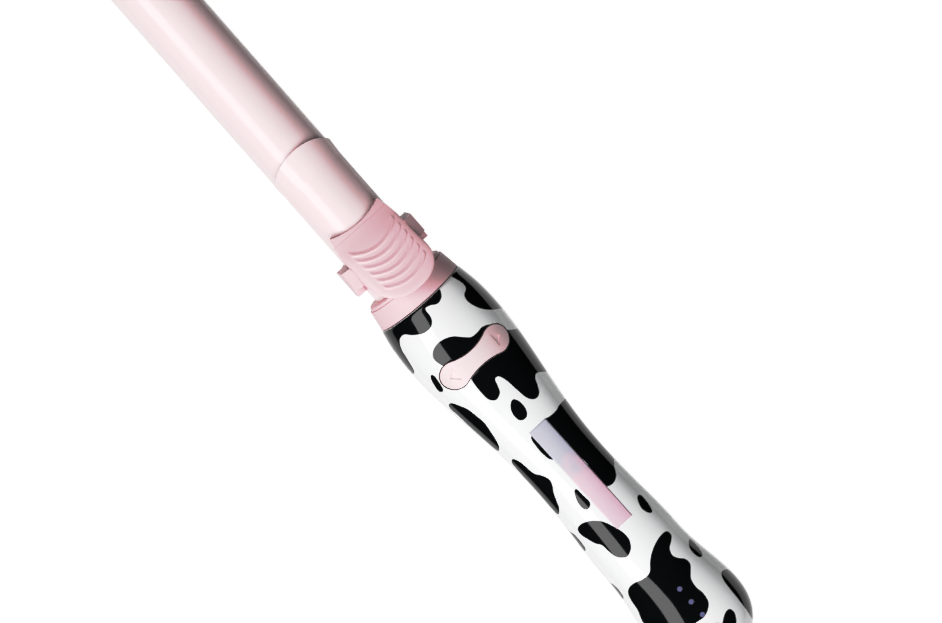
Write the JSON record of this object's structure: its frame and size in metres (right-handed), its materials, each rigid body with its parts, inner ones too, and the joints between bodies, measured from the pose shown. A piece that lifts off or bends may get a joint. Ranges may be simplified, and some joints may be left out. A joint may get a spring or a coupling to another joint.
{
  "type": "rotating curling iron",
  "caption": "Hair curling iron whose clip barrel is turned by a motor in its hourglass handle, with rocker button, thumb lever and swivel cord inlet.",
  "frame": {"origin": "centre of the cord inlet's mouth at the handle's tail, on the barrel's turning axis", "axes": "+X along the barrel axis towards the cool tip, +Z out of the face with the rocker button and the clip"},
  "size_m": [0.368, 0.0406, 0.0448],
  "materials": {
    "handle_print": "glossy white with a black cow print",
    "pink_plastic": "satin dusty pink moulding",
    "button_plastic": "satin pale pink moulding",
    "barrel_coat": "glossy pale pink ceramic coat",
    "black_plastic": "moulded black nylon",
    "steel": "plated steel",
    "brass": "turned brass",
    "gear_plastic": "natural acetal",
    "copper": "copper contact",
    "board": "solder-masked board",
    "board_part": "moulded component",
    "lamp": "small lamp",
    "light_pipe": "translucent lavender moulding",
    "aluminium": "extruded",
    "heater": "ceramic heating strip"
  },
  "bodies": {
    "handle": {"handle_front_shell": "handle_print", "handle_rear_shell": "handle_print", "handle_screws": "steel", "front_bush": "black_plastic", "drive_frame": "black_plastic", "gearbox_case": "brass", "motor_can": "steel", "motor_screws": "steel", "brush_block": "black_plastic", "contact_brushes": "copper", "button_board": "board", "rocker_switches": "board_part", "rocker_pin": "steel", "button_board_screws": "steel", "main_board": "board", "board_parts": "board_part", "power_switch": "board_part", "indicator_leds": "lamp", "light_pipe": "light_pipe", "board_screws": "steel"},
    "rotor": {"hub_shaft": "black_plastic", "slip_ring_drum": "black_plastic", "contact_rings": "brass", "drive_gear": "gear_plastic", "barrel_base": "black_plastic", "base_bolts": "steel", "collar": "pink_plastic", "barrel_tube": "barrel_coat", "heat_spreaders": "aluminium", "heater_strip": "heater", "temperature_sensor": "heater", "cool_tip": "pink_plastic", "hinge_saddle": "pink_plastic", "saddle_screws": "steel", "hinge_pin": "steel", "clip_spring": "steel"},
    "clip": {"thumb_lever": "pink_plastic", "clip_blade": "barrel_coat", "lever_rivets": "steel"},
    "motor_output": {"motor_shaft": "steel", "drive_pinion": "brass"},
    "rocker": {"rocker_button": "button_plastic"},
    "power": {"power_button": "button_plastic"},
    "swivel": {"cord_swivel": "black_plastic"}
  },
  "joints": [
    {"name": "barrel_spin", "type": "hinge", "parent": "handle", "child": "rotor", "pos_m": [0.1805, 0, 0], "axis": [1, 0, 0], "continuous": true},
    {"name": "pinion_spin", "type": "hinge", "parent": "handle", "child": "motor_output", "pos_m": [0.145, 0, -0.00655], "axis": [1, 0, 0], "continuous": true},
    {"name": "clip_pivot", "type": "hinge", "parent": "rotor", "child": "clip", "pos_m": [0.2035, 0, 0.0154], "axis": [0, -1, 0], "range_deg": [0, 13.5], "stiffness_Nm_per_rad": 0.25, "springref_deg": -28.65, "deforming": ["clip_spring"]},
    {"name": "rocker_tilt", "type": "hinge", "parent": "handle", "child": "rocker", "pos_m": [0.153, 0, 0.0142], "axis": [1, 0, 0], "range_deg": [-3, 3], "stiffness_Nm_per_rad": 0.2},
    {"name": "power_press", "type": "slide", "parent": "handle", "child": "power", "axis": [0, 0, -1], "range_m": [0, 0.0004], "stiffness_N_per_m": 1200, "springref_m": -0.0008},
    {"name": "cord_turn", "type": "hinge", "parent": "handle", "child": "swivel", "pos_m": [0.005, 0, 0], "axis": [1, 0, 0], "continuous": true}
  ],
  "couplings": [
    {"joint": "pinion_spin", "follows": "barrel_spin", "ratio": -1.6}
  ]
}
